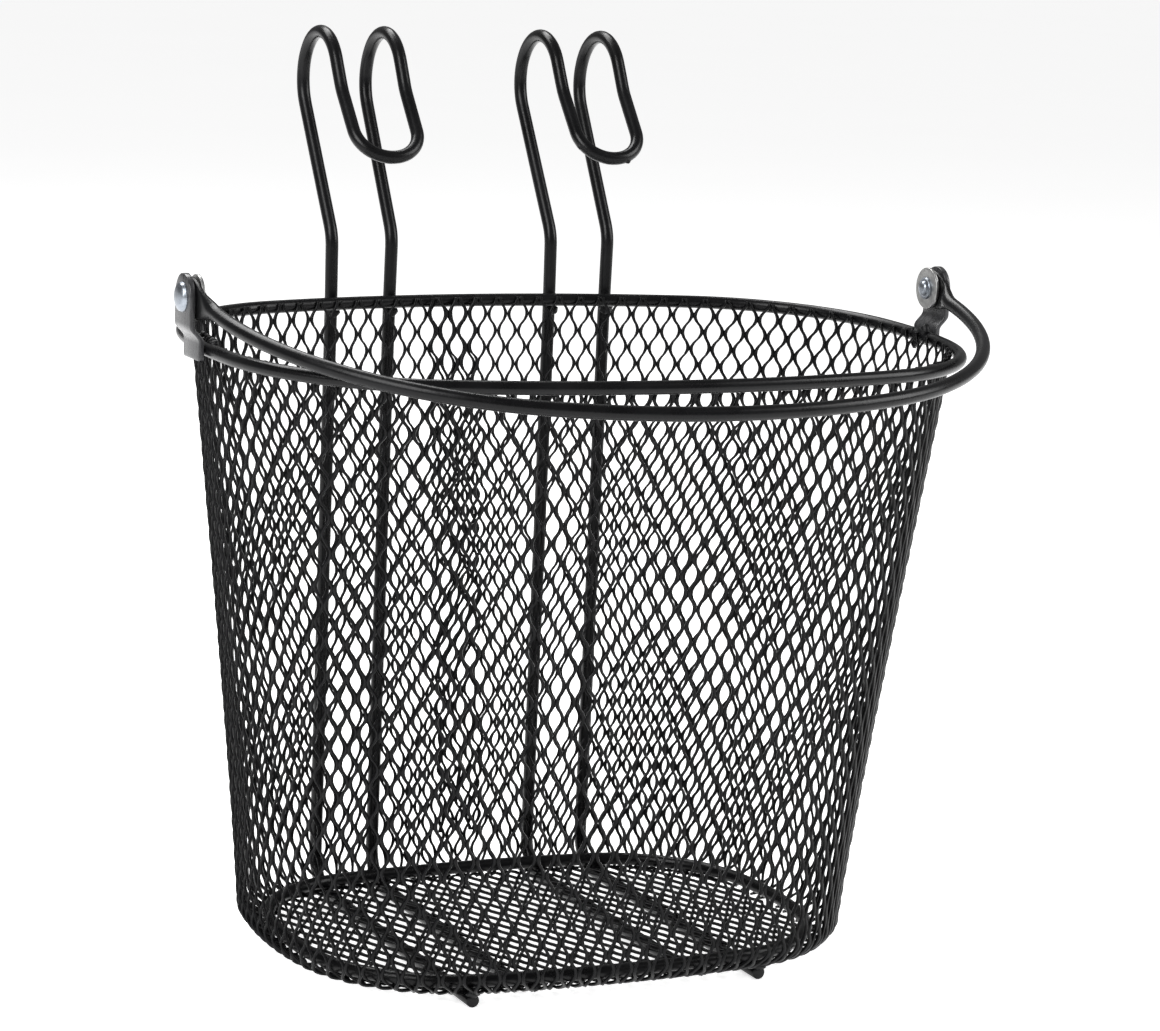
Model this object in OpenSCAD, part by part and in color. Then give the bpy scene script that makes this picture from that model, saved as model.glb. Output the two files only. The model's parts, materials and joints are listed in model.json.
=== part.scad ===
// Handlebar basket: an expanded-metal body with a wire rim, two hairpin hooks
// that hang over the handlebar, and a folding bail handle on riveted brackets.
// Millimetres. Origin on the standing plane, under the middle of the rim.
// +X is the rider's left to right seen from the front, +Y towards the hooks, +Z up.

/* [Rim] */
// Half the width of the rim, measured to the wire's centre
rim_half_w = 174; // [140:1:210]
// Half the depth of the rim, measured to the wire's centre
rim_half_d = 114; // [90:1:140]
// Height of the rim wire's centre above the standing plane
rim_height = 280; // [200:1:340]
// Diameter of the rim wire
rim_wire_d = 6; // [4:0.5:8]
// How much the rim rises towards the back, in degrees
rim_rise = 1.9; // [0:0.1:4]

/* [Base] */
// Half the width of the ring in the bottom of the basket
base_half_w = 123; // [90:1:160]
// Half the depth of the ring in the bottom of the basket
base_half_d = 87; // [60:1:110]
// How far the ring's centre lies behind the rim's centre
base_back = 15; // [0:1:30]
// Diameter of the base ring wire
base_wire_d = 6; // [4:0.5:8]

/* [Mesh] */
// Thickness of the expanded-metal sheet
sheet_t = 1.5; // [1:0.1:3]
// How far the wall stands outside the base ring at the ends
wall_bulge_w = 12.5; // [6:0.5:20]
// How far the wall stands outside the base ring at the front and back
wall_bulge_d = 13.5; // [6:0.5:20]
// Height at which the wall starts to curl in under the base ring
curl_height = 18; // [12:1:30]
// How hollow the wall's taper is: 1 is straight
wall_flare = 1.12; // [1:0.02:1.5]

/* [Hooks] */
// Diameter of the hook wire
hook_wire_d = 6; // [4:0.5:8]
// Distance between the middles of the two hooks
hook_pitch = 111; // [70:1:180]
// Distance between the two legs of one hook, centre to centre
hook_gauge = 30; // [20:1:40]
// Height of the bend where the legs start to lean back
hook_bend_z = 313.5; // [290:0.5:360]
// Lean of the legs above that bend, in degrees
hook_lean = 33; // [0:1:45]
// Length of the leaning part
hook_lean_len = 68; // [30:1:100]
// Radius of the bend over the handlebar, to the wire's centre
hook_top_r = 22.5; // [16:0.5:30]
// Slope of the hairpin end below the horizontal, in degrees
hook_end_slope = 48; // [20:1:70]
// Radius of the bend at the foot of each leg, to the wire's centre
hook_foot_r = 16; // [10:1:25]

/* [Handle] */
// Diameter of the handle rod
handle_d = 6.3; // [5:0.1:8]
// Half the width between the handle's limbs, centre to centre
handle_half_w = 177; // [140:0.1:210]
// Reach from the pivots to the middle of the grip, to the rod's centre
handle_reach = 158; // [110:1:200]
// Radius of the handle's two corners
handle_corner_r = 136; // [60:1:150]
// Length of the straight part of each limb
handle_limb = 16; // [16:1:60]
// How far the handle hangs below the horizontal when it is folded forward, in degrees
handle_droop = 11; // [0:0.1:16]

/* [Brackets] */
// Height of the pivots
pivot_z = 301.5; // [295:0.5:330]
// Width of the bracket plate
bracket_w = 20; // [14:1:30]
// Thickness of the bracket plate
bracket_t = 2.5; // [1.5:0.1:4]
// Distance from the pivot to the bottom edge of the bracket
bracket_drop = 26; // [22:1:40]
// How far the pivot end of the bracket stands out from its foot
bracket_out = 4.2; // [0:0.1:8]
// Diameter of the rivet's shank
rivet_d = 6; // [4:0.5:8]
// Diameter of the rivet's outer head
rivet_head_d = 12.8; // [9:0.1:16]
// Diameter of the rivet's inner, closed head
rivet_tail_d = 10; // [8:0.5:14]
// Outer diameter of the washer
washer_d = 19; // [12:0.5:26]
// Thickness of the washer
washer_t = 1.5; // [0.8:0.1:3]

/* [Hidden] */
$fn = 96;
// Radii of the end, corner and side arcs of each oval
rim_arcs = [200, 88, 450];
base_arcs = [200, 66, 600];
wall_arcs = [215, 77, 620];
seam_gap = 0.1;                  // between a length of wire and the middle of its seam
seam_swell = 0.05;               // how far a seam stands out from the wire
sleeve_len = 1;
touch = 0.05;                    // gap left between two pieces of one body that touch
side_gap = 0.3;                  // gap on each side of a handle ear
ear_play = 0.075;                // radial play of an ear on its rivet
runner_z = hook_wire_d / 2 + seam_swell;
rim_plan_d = rim_half_d * cos(rim_rise);
leg_y = rim_plan_d + rim_wire_d / 2 + hook_wire_d / 2 + 2 * touch;
sheet_z = runner_z + hook_wire_d / 2 + 2 * touch;   // underside of the floor
ring_z = sheet_z + sheet_t + 2 * touch + base_wire_d / 2;
wall_top_z = rim_height + rim_wire_d / 3;
wall_inset = rim_wire_d / 2 + 2 * touch;
runner_long_y = base_back - base_half_d;
runner_short_y = runner_long_y + 16;

lean_end = [leg_y + hook_lean_len * sin(hook_lean), hook_bend_z + hook_lean_len * cos(hook_lean)];
top_centre = lean_end + hook_top_r * [-cos(hook_lean), sin(hook_lean)];
tail_turn = 150;                 // where the top bend ends, as an angle round its centre
tail_len = 12;
tail_way = [-sin(tail_turn), cos(tail_turn)];
tail_from = top_centre + hook_top_r * [cos(tail_turn), sin(tail_turn)];
tail_to = tail_from + tail_len * tail_way;
flare_r = 30;                    // the tail bends back a little before the hairpin end
flare_turn = tail_turn - 90 - hook_end_slope;
flare_centre = tail_to + flare_r * [cos(tail_turn), sin(tail_turn)];
flare_to = flare_centre - flare_r * [cos(tail_turn - flare_turn), sin(tail_turn - flare_turn)];
end_len = 20;
end_to = flare_to - end_len * [cos(hook_end_slope), sin(hook_end_slope)];

plate_x = rim_half_w + rim_wire_d / 2 + 2 * touch;
pad_x = plate_x + bracket_out;
foot_z = rim_height + rim_wire_d / 2 + 1;           // where the bracket's foot ends
step_h = 5.5;
step_drop = bracket_t * tan(atan2(bracket_out, step_h) / 2);
ear_t = 2.6;
ear_r = 8.5;
ear_x = pad_x - side_gap - ear_t;
ear_len = 26;
limb_from = 14;                  // where the round rod starts, clear of the washer
corner_x = handle_half_w - handle_corner_r;
grip_depth = handle_reach - handle_limb;
grip_r = (pow(corner_x, 2) + pow(grip_depth, 2) - pow(handle_corner_r, 2))
         / (2 * (grip_depth - handle_corner_r));
grip_turn = atan2(grip_r - grip_depth, corner_x);
washer_x = ear_x - side_gap - washer_t;
rivet_head_h = 3;
rivet_tail_h = 3.2;

// Ovals: end, corner and side arcs that meet smoothly

// Centre of the corner arc, found where two circles cross
function corner_centre(a, b, arcs) =
    let (ex = a - arcs[0], sy = b - arcs[2],
         re = arcs[0] - arcs[1], rs = arcs[2] - arcs[1],
         span = sqrt(ex * ex + sy * sy),
         along = (re * re - rs * rs + span * span) / (2 * span),
         off = sqrt(re * re - along * along),
         ux = -ex / span, uy = sy / span)
    [ex + along * ux - off * uy, along * uy + off * ux];

function end_turn(a, b, arcs) =
    let (c = corner_centre(a, b, arcs)) atan2(c[1], c[0] - a + arcs[0]);

function side_turn(a, b, arcs) =
    let (c = corner_centre(a, b, arcs)) atan2(c[1] - b + arcs[2], c[0]);

// A wire bent to the oval: eight arcs, with a sleeve where each meets the next
module oval_wire(a, b, arcs, d) {
    corner = corner_centre(a, b, arcs);
    t1 = end_turn(a, b, arcs);
    t2 = side_turn(a, b, arcs);
    for (side = [0, 1]) rotate(180 * side) {
        translate([a - arcs[0], 0, 0]) ring_arc(arcs[0], -t1, t1, d);
        translate([0, b - arcs[2], 0]) ring_arc(arcs[2], t2, 180 - t2, d);
        translate([corner[0], corner[1], 0]) ring_arc(arcs[1], t1, t2, d);
        translate([-corner[0], corner[1], 0]) ring_arc(arcs[1], 180 - t2, 180 - t1, d);
        for (t = [t1, t2]) for (x = [-1, 1])
            sleeve([x * (corner[0] + arcs[1] * cos(t)), corner[1] + arcs[1] * sin(t), 0],
                   x * (t + 90), d);
    }
}

// Part of a ring, stopping just short of the seam at each end
module ring_arc(r, from, to, d) {
    short = seam_gap / r * 180 / PI;
    rotate(from + short) rotate_extrude(angle = to - from - 2 * short)
        translate([r, 0]) circle(d = d, $fn = 48);
}

// Sleeve that joins two lengths of one flat-lying wire, a hair wider than the wire
module sleeve(at, heading, d) {
    translate(at) rotate(heading) rotate([0, 90, 0])
        cylinder(h = sleeve_len, d = d + 2 * seam_swell, center = true, $fn = 48);
}

// Ball that does the same at a bend
module seam(at, d) {
    translate(at) sphere(d = d + 2 * seam_swell, $fn = 48);
}

// Points of one quarter of an oval, grown by "out", from the end round to the side
function quarter(a, b, arcs, out) =
    let (c = corner_centre(a, b, arcs), t1 = end_turn(a, b, arcs), t2 = side_turn(a, b, arcs))
    concat(
        [for (i = [0:2]) let (t = t1 * i / 3)
            [a - arcs[0] + (arcs[0] + out) * cos(t), (arcs[0] + out) * sin(t)]],
        [for (i = [0:8]) let (t = t1 + (t2 - t1) * i / 9)
            [c[0] + (arcs[1] + out) * cos(t), c[1] + (arcs[1] + out) * sin(t)]],
        [for (i = [0:4]) let (t = t2 + (90 - t2) * i / 5)
            [(arcs[2] + out) * cos(t), b - arcs[2] + (arcs[2] + out) * sin(t)]]
    );

function oval(a, b, arcs, out) =
    let (q = quarter(a, b, arcs, out), n = len(q),
         back = [for (i = [1:n - 1]) [-q[n - i][0], q[n - i][1]]],
         half = concat(q, [[0, b + out]], back))
    concat(half, [for (p = half) -p]);

// Body of the basket

module rim_wire() {
    color("#1b1b1d")
        translate([0, 0, rim_height]) rotate([rim_rise, 0, 0])
            oval_wire(rim_half_w, rim_half_d, rim_arcs, rim_wire_d);
}

module base_ring() {
    color("#1b1b1d")
        translate([0, base_back, ring_z])
            oval_wire(base_half_w, base_half_d, base_arcs, base_wire_d);
}

// One level of the wall: u runs from 0 at the curl to 1 at the top edge
function wall_level(u, out) =
    let (k = pow(u, wall_flare),
         foot_w = base_half_w + wall_bulge_w, foot_d = base_half_d + wall_bulge_d,
         arcs = wall_arcs + (rim_arcs - wall_arcs) * k,
         z = curl_height + (wall_top_z - curl_height) * u,
         y = base_back * (1 - k))
    [for (p = oval(foot_w + (rim_half_w - wall_inset - sheet_t - foot_w) * k,
                   foot_d + (rim_plan_d - wall_inset - sheet_t - foot_d) * k, arcs, out))
        [p[0], p[1] + y, z + k * p[1] * tan(rim_rise)]];

// One level of the curl: turn runs from 0 at the wall to 90 under the base ring
function curl_level(turn, out) =
    let (k = cos(turn),
         arcs = base_arcs + (wall_arcs - base_arcs) * k,
         z = curl_height - (curl_height - sheet_z - sheet_t) * sin(turn) - out * sin(turn))
    [for (p = oval(base_half_w + wall_bulge_w * k, base_half_d + wall_bulge_d * k,
                   arcs, out * k))
        [p[0], p[1] + base_back, z]];

wall_steps = 7;
curl_steps = 5;

function wall_skin(out) = concat(
    [for (i = [0:curl_steps - 1]) curl_level(90 - 90 * i / curl_steps, out)],
    [for (i = [0:wall_steps]) wall_level(i / wall_steps, out)]);

// The wall as one closed sheet: outer skin up, over the top edge, inner skin down
module side_mesh() {
    outer = wall_skin(sheet_t);
    inner = wall_skin(0);
    rows = concat(outer, [for (i = [len(inner) - 1:-1:0]) inner[i]]);
    n = len(rows[0]);
    m = len(rows);
    color("#202124")
        polyhedron(
            points = [for (row = rows) for (p = row) p],
            faces = [for (i = [0:m - 1]) for (j = [0:n - 1]) for (half = [0, 1])
                let (k = (i + 1) % m, l = (j + 1) % n)
                half == 0 ? [i * n + j, k * n + j, k * n + l]
                          : [i * n + j, k * n + l, i * n + l]],
            convexity = 6);
}

// The floor panel lies on the runners, with its edge under the base ring
module floor_mesh() {
    edge = oval(base_half_w, base_half_d, base_arcs, -0.4);
    color("#202124")
        translate([0, base_back, sheet_z]) linear_extrude(sheet_t) polygon(edge);
}

// Hooks: a hairpin of wire, down the back wall and under the floor

// Part of a bend in the upright plane that the wire lies in
module upright_bend(centre, r, from, to, d) {
    translate([0, centre[0], centre[1]]) rotate([90, 0, 90]) ring_arc(r, from, to, d);
}

module rod(from, to, d) {
    way = to - from;
    length = norm(way);
    translate(from)
        rotate([0, acos(way[2] / length), atan2(way[1], way[0])])
            translate([0, 0, seam_gap]) cylinder(h = length - 2 * seam_gap, d = d, $fn = 48);
}

// A path point in the upright plane, as a point in space
function upright(p) = [0, p[0], p[1]];

module hook_leg(runner_end) {
    d = hook_wire_d;
    start = [runner_end, runner_z];
    foot_from = [leg_y - hook_foot_r, runner_z];
    foot_centre = [leg_y - hook_foot_r, runner_z + hook_foot_r];
    foot_to = [leg_y, runner_z + hook_foot_r];
    bend = [leg_y, hook_bend_z];
    rod(upright(start), upright(foot_from), d);
    upright_bend(foot_centre, hook_foot_r, -90, 0, d);
    rod(upright(foot_to), upright(bend), d);
    rod(upright(bend), upright(lean_end), d);
    upright_bend(top_centre, hook_top_r, -hook_lean, tail_turn, d);
    rod(upright(tail_from), upright(tail_to), d);
    upright_bend(flare_centre, flare_r, 180 + tail_turn - flare_turn, 180 + tail_turn, d);
    rod(upright(flare_to), upright(end_to), d);
    for (p = [foot_from, foot_to, bend, lean_end, tail_from, tail_to, flare_to, end_to])
        seam(upright(p), d);
}

// The outer leg's runner reaches the front edge and shows as a small foot
module hook(side) {
    color("#1b1b1d") translate([side * hook_pitch / 2, 0, 0]) {
        translate([side * hook_gauge / 2, 0, 0]) hook_leg(runner_long_y);
        translate([-side * hook_gauge / 2, 0, 0]) hook_leg(runner_short_y);
        translate(upright(end_to)) rotate([180 + hook_end_slope, 0, 0])
            ring_arc(hook_gauge / 2, 0, 180, hook_wire_d);
    }
}

module hook_left() {
    hook(-1);
}

module hook_right() {
    hook(1);
}

// Brackets, rivets and washers: drawn on the right, mirrored to the left

module to_side(side) {
    mirror([side < 0 ? 1 : 0, 0, 0]) children();
}

// Turns a flat shape to face along X, at height z of the pivots
module on_pivot(x) {
    translate([x, 0, pivot_z]) rotate([90, 0, 90]) children();
}

module dome(d, h) {
    r = (h * h + d * d / 4) / (2 * h);
    intersection() {
        translate([0, 0, h - r]) sphere(r);
        cylinder(h = h, d = d + 1);
    }
}

// The plate seen edge on: its foot lies against the rim and its pivot end stands out
module bracket_profile() {
    rotate([90, 0, 0]) linear_extrude(bracket_w + 2, center = true) polygon([
        [plate_x, pivot_z - bracket_drop],
        [plate_x, foot_z],
        [pad_x, foot_z + step_h],
        [pad_x, pivot_z + bracket_w],
        [pad_x + bracket_t, pivot_z + bracket_w],
        [pad_x + bracket_t, foot_z + step_h - step_drop],
        [plate_x + bracket_t, foot_z - step_drop],
        [plate_x + bracket_t, pivot_z - bracket_drop]
    ]);
}

module bracket(side) {
    deep = bracket_out + bracket_t + 2;
    color("#2b2b2d") to_side(side) difference() {
        intersection() {
            on_pivot(plate_x - 1) union() {
                cylinder(h = deep, d = bracket_w);
                translate([-bracket_w / 2, -bracket_drop - 1, 0])
                    cube([bracket_w, bracket_drop + 1, deep]);
            }
            bracket_profile();
        }
        on_pivot(plate_x - 1) cylinder(h = deep, d = rivet_d + 2 * touch);
    }
}

module pivot_rivet(side) {
    color("#9ea3a8") to_side(side) {
        on_pivot(washer_x - touch)
            cylinder(h = pad_x + bracket_t - washer_x + 2 * touch, d = rivet_d);
        on_pivot(pad_x + bracket_t + touch) dome(rivet_head_d, rivet_head_h);
        on_pivot(washer_x - touch) mirror([0, 0, 1]) dome(rivet_tail_d, rivet_tail_h);
    }
}

module washer(side) {
    color("#b9babb") to_side(side) on_pivot(washer_x) difference() {
        cylinder(h = washer_t, d = washer_d);
        translate([0, 0, -1]) cylinder(h = washer_t + 2, d = rivet_d + 2 * touch);
    }
}

module bracket_left() {
    bracket(-1);
}

module bracket_right() {
    bracket(1);
}

module pivot_rivet_left() {
    pivot_rivet(-1);
}

module pivot_rivet_right() {
    pivot_rivet(1);
}

module washer_left() {
    washer(-1);
}

module washer_right() {
    washer(1);
}

// Handle: drawn lying forward from the pivots, then let down by its droop

// The rod's end pressed flat: a round ear that narrows to the rod
module ear() {
    lean = acos((ear_r - handle_d / 2) / ear_len);
    tip = handle_d / 2;
    difference() {
        union() {
            cylinder(h = ear_t, r = ear_r);
            translate([0, -ear_len, 0]) cylinder(h = ear_t, r = tip);
            linear_extrude(ear_t) polygon([
                [ear_r * sin(lean), -ear_r * cos(lean)],
                [tip * sin(lean), -ear_len - tip * cos(lean)],
                [-tip * sin(lean), -ear_len - tip * cos(lean)],
                [-ear_r * sin(lean), -ear_r * cos(lean)]
            ]);
        }
        translate([0, 0, -1]) cylinder(h = ear_t + 2, r = rivet_d / 2 + ear_play);
    }
}

// One limb with its ear and corner: side is -1 on the left and 1 on the right
module limb(side) {
    x = side * handle_half_w;
    limb_to = [x, -handle_limb, 0];
    corner_to = [side * (corner_x + handle_corner_r * cos(grip_turn)),
                 -handle_limb - handle_corner_r * sin(grip_turn), 0];
    corner_from = side > 0 ? -grip_turn : 180;
    translate([side * (ear_x + ear_t / 2) - ear_t / 2, 0, 0]) rotate([90, 0, 90]) rotate(-90) ear();
    rod([x, -limb_from, 0], limb_to, handle_d);
    translate([side * corner_x, -handle_limb, 0])
        ring_arc(handle_corner_r, corner_from, corner_from + grip_turn, handle_d);
    sleeve(limb_to, 90, handle_d);
    sleeve(corner_to, side * (90 - grip_turn), handle_d);
}

module handle() {
    color("#232326") translate([0, 0, pivot_z]) rotate([handle_droop, 0, 0]) {
        limb(-1);
        limb(1);
        translate([0, grip_r - handle_reach, 0])
            ring_arc(grip_r, grip_turn - 180, -grip_turn, handle_d);
    }
}

rim_wire();
base_ring();
side_mesh();
floor_mesh();
hook_left();
hook_right();
bracket_left();
bracket_right();
pivot_rivet_left();
pivot_rivet_right();
washer_left();
washer_right();
handle();
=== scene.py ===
import bmesh
import bpy
import json
import math
import numpy as np
from mathutils import Matrix, Vector


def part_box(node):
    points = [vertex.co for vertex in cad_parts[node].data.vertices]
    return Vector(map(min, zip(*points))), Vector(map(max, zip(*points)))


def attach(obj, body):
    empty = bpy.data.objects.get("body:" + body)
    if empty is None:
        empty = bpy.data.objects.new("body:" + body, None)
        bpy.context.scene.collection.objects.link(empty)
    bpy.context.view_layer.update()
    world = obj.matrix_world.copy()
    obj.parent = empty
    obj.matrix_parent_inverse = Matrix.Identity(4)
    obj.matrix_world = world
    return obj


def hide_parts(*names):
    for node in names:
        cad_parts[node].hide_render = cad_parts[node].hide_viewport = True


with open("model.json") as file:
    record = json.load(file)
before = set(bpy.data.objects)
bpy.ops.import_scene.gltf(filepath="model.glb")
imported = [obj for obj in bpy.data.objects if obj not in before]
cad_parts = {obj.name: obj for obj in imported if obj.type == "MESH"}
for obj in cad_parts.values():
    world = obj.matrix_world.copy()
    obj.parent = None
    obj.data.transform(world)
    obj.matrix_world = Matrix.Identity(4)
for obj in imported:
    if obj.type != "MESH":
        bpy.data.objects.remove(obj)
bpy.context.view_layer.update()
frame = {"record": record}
rng = np.random.default_rng(7)  # every small irregularity comes from here
print("frame loaded")


def nodeBox(name):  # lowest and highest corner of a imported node, in millimetres
    low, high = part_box(name)
    return np.array(low) * 1000, np.array(high) * 1000


class Value:  # a shader socket that can be added, multiplied and so on
    def __init__(self, tree, socket):
        self.tree, self.socket = tree, socket

    def node(self, kind, settings=None, sockets=None, out=0):
        made = self.tree.nodes.new(kind)
        for key, setting in (settings or {}).items():
            if key == "stops":  # a colour ramp: (place, colour) pairs
                ramp = made.color_ramp.elements
                while len(ramp) < len(setting):
                    ramp.new(0.5)
                for stop, (place, colour) in zip(ramp, setting):
                    stop.position, stop.color = place, (*colour, 1)
            else:
                setattr(made, key, setting)
        for key, value in (sockets or {}).items():
            if isinstance(value, Value):
                self.tree.links.new(value.socket, made.inputs[key])
            else:
                made.inputs[key].default_value = value
        return Value(self.tree, made.outputs[out])

    def math(self, operation, first, second=0.0):
        return self.node("ShaderNodeMath", {"operation": operation}, {0: first, 1: second})

    def __add__(self, other):
        return self.math("ADD", self, other)

    def __radd__(self, other):
        return self.math("ADD", other, self)

    def __sub__(self, other):
        return self.math("SUBTRACT", self, other)

    def __rsub__(self, other):
        return self.math("SUBTRACT", other, self)

    def __mul__(self, other):
        return self.math("MULTIPLY", self, other)

    def __rmul__(self, other):
        return self.math("MULTIPLY", other, self)

    def clamped(self, low, high, toLow, toHigh):  # low..high becomes toLow..toHigh, then is held
        return self.node("ShaderNodeMapRange", {"clamp": True},
                         {0: self, 1: low, 2: high, 3: toLow, 4: toHigh})


class Finish:  # a material with one Principled shader
    def __init__(self, name, **fixed):
        self.material = bpy.data.materials.new(name)
        self.material.use_nodes = True
        tree = self.material.node_tree
        self.shader = next(n for n in tree.nodes if n.type == "BSDF_PRINCIPLED")
        self.tree = tree
        for key, value in fixed.items():
            self.shader.inputs[key.replace("_", " ")].default_value = value
        self.place = Value(tree, None).node("ShaderNodeTexCoord", out=3)

    def feed(self, name, value):
        self.tree.links.new(value.socket, self.shader.inputs[name])

    def noise(self, size, detail=2.0, roughness=0.5, stretch=(1, 1, 1)):  # size in mm
        spread = self.place.node("ShaderNodeMapping", {}, {0: self.place, 3: stretch})
        return spread.node("ShaderNodeTexNoise", {"noise_dimensions": "3D"},
                           {"Vector": spread, "Scale": 1000.0 / size, "Detail": detail,
                            "Roughness": roughness})

    def mix(self, factor, first, second):
        return factor.node("ShaderNodeMix", {"data_type": "RGBA"}, {0: factor, 6: first, 7: second},
                           out=2)

    def bump(self, height, distance, strength=1.0):  # distance in mm
        self.feed("Normal", height.node("ShaderNodeBump", {}, {
            "Height": height, "Distance": distance / 1000, "Strength": strength}))


# Powder coat: near black, satin, with a fine orange peel and a slow drift of gloss
def powderCoat(name, look):
    coat = Finish(name, Metallic=0.0, IOR=1.5, Specular_IOR_Level=look["shine"])
    drift = coat.noise(look["driftSize"], 3)
    peel = coat.noise(look["peelSize"], 2, 0.55)
    speck = coat.noise(look["speckSize"], 4, 0.7)
    shade = (0.6 * drift + 0.4 * speck).clamped(0.35, 0.65, 0, 1)
    coat.feed("Base Color", coat.mix(shade, (*look["dark"], 1), (*look["light"], 1)))
    coat.feed("Roughness", drift.clamped(0.3, 0.7, *look["roughness"])
              + speck.clamped(0.55, 0.8, 0, look["speckDull"]))
    coat.bump(peel + 0.25 * speck, look["peelDepth"])
    return coat.material


# Bare plated metal: a mottled tone over a base colour, with marks that follow one direction
def platedMetal(name, look):
    metal = Finish(name, Metallic=1.0)
    cloud = metal.noise(look["cloudSize"], 3, 0.6)
    marks = metal.noise(look["markSize"], 2, 0.6, look["markStretch"])
    tone = (0.65 * cloud + 0.35 * marks).clamped(0.32, 0.68, 0, 1)
    metal.feed("Base Color", metal.mix(tone, (*look["dark"], 1), (*look["light"], 1)))
    metal.feed("Roughness", (0.5 * cloud + 0.5 * marks).clamped(0.3, 0.7, *look["roughness"]))
    metal.bump(marks, look["markDepth"])
    return metal.material


# Bracket plate: thick gloss coat over a rolled plate, so it ripples faintly up and down
def platePaint(name, look):
    paint = Finish(name, Metallic=look["metal"], IOR=look["ior"])
    streak = paint.noise(look["streakSize"], 3, 0.6, (1, 1, 0.12))
    fleck = paint.noise(look["fleckSize"], 4, 0.7)
    tone = (0.7 * streak + 0.3 * fleck).clamped(0.35, 0.65, 0, 1)
    paint.feed("Base Color", paint.mix(tone, (*look["dark"], 1), (*look["light"], 1)))
    paint.feed("Roughness", streak.clamped(0.3, 0.7, *look["roughness"]))
    paint.bump(streak + 0.3 * fleck, look["streakDepth"])
    return paint.material


wireLook = {"dark": (0.002, 0.002, 0.0023), "light": (0.005, 0.005, 0.0056), "driftSize": 22.0,
            "speckSize": 1.1, "peelSize": 1.6, "peelDepth": 0.05, "speckDull": 0.10,
            "roughness": (0.24, 0.34), "shine": 0.19}
meshLook = {"dark": (0.0015, 0.0015, 0.0018), "light": (0.004, 0.004, 0.0046), "driftSize": 30.0,
            "speckSize": 0.8, "peelSize": 1.2, "peelDepth": 0.05, "speckDull": 0.12,
            "roughness": (0.28, 0.40), "shine": 0.14}
weldLook = {"dark": (0.003, 0.003, 0.0035), "light": (0.008, 0.008, 0.009), "driftSize": 5.0,
            "speckSize": 0.7, "peelSize": 1.4, "peelDepth": 0.22, "speckDull": 0.15,
            "roughness": (0.32, 0.46), "shine": 0.22}
plateLook = {"metal": 0.0, "ior": 1.5, "dark": (0.014, 0.014, 0.015),
             "light": (0.045, 0.045, 0.048), "streakSize": 1.6, "fleckSize": 0.7,
             "streakDepth": 0.02, "roughness": (0.22, 0.34)}
zincLook = {"dark": (0.20, 0.22, 0.25), "light": (0.38, 0.41, 0.45), "cloudSize": 3.2,
            "markSize": 0.7, "markStretch": (1, 1, 1), "markDepth": 0.03, "roughness": (0.26, 0.42)}
washerLook = {"dark": (0.26, 0.26, 0.26), "light": (0.52, 0.52, 0.51), "cloudSize": 4.0,
              "markSize": 0.5, "markStretch": (1, 1, 0.3), "markDepth": 0.03,
              "roughness": (0.34, 0.52)}

wireCoat = powderCoat("wirePowderCoat", wireLook)
meshCoat = powderCoat("meshPowderCoat", meshLook)
weldCoat = powderCoat("weldPowderCoat", weldLook)
plateCoat = platePaint("bracketGlossCoat", plateLook)
zinc = platedMetal("rivetZinc", zincLook)
washerZinc = platedMetal("washerZinc", washerLook)
print("finishes made")


# Puts points (in mm) and faces into an object that rides on a body and stands for CAD nodes
def addPiece(name, points, faces, coat, body, nodes=(), creaseAngle=40):
    mesh = bpy.data.meshes.new(name)
    faces = faces.tolist() if isinstance(faces, np.ndarray) else faces
    mesh.from_pydata((np.asarray(points) * 0.001).tolist(), [], faces)
    shell = bmesh.new()
    shell.from_mesh(mesh)
    bmesh.ops.remove_doubles(shell, verts=shell.verts, dist=1e-7)  # closes poles and seams
    bmesh.ops.recalc_face_normals(shell, faces=shell.faces)
    shell.to_mesh(mesh)
    shell.free()
    mesh.shade_smooth()
    mesh.set_sharp_from_angle(angle=math.radians(creaseAngle))
    mesh.materials.append(coat)
    piece = bpy.data.objects.new(name, mesh)
    bpy.context.scene.collection.objects.link(piece)
    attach(piece, body)
    if nodes:
        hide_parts(*nodes)
    return piece


# Faces of a grid whose points are numbered row by row; rows run along and columns round
def gridFaces(rows, columns, closedRows=False, closedColumns=True):
    i = np.arange(rows if closedRows else rows - 1)[:, None]
    j = np.arange(columns if closedColumns else columns - 1)[None, :]
    a, b = i * columns, (i + 1) % rows * columns
    k = (j + 1) % columns
    return np.stack([a + j, b + j, b + k, a + k], axis=-1).reshape(-1, 4)


# Each vector over its own length
def unit(vectors):
    return vectors / np.linalg.norm(vectors, axis=-1, keepdims=True)


# Direction of a path at each of its points: the next point less the one before
def headings(path, closed=False):
    if closed:
        return unit(np.roll(path, -1, axis=0) - np.roll(path, 1, axis=0))
    return unit(np.gradient(path, axis=0))


# A profile carried along a path. Point (i, j) is path i + across i times the profile's first
# number + (heading i x across i) times its second
def carried(path, across, profile, closed=False):
    ahead = headings(path, closed)
    side = unit(across - (across * ahead).sum(1, keepdims=True) * ahead)
    up = np.cross(ahead, side)
    profile = np.broadcast_to(profile, (len(path), *np.shape(profile)[-2:]))
    return (path[:, None] + side[:, None] * profile[..., :1] + up[:, None] * profile[..., 1:])


# A round profile: radius times (cosine, sine) of the angle
def roundProfile(diameter, sides):
    turn = np.arange(sides) * 2 * np.pi / sides
    return np.stack([np.cos(turn), np.sin(turn)], axis=-1) * diameter / 2


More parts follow.
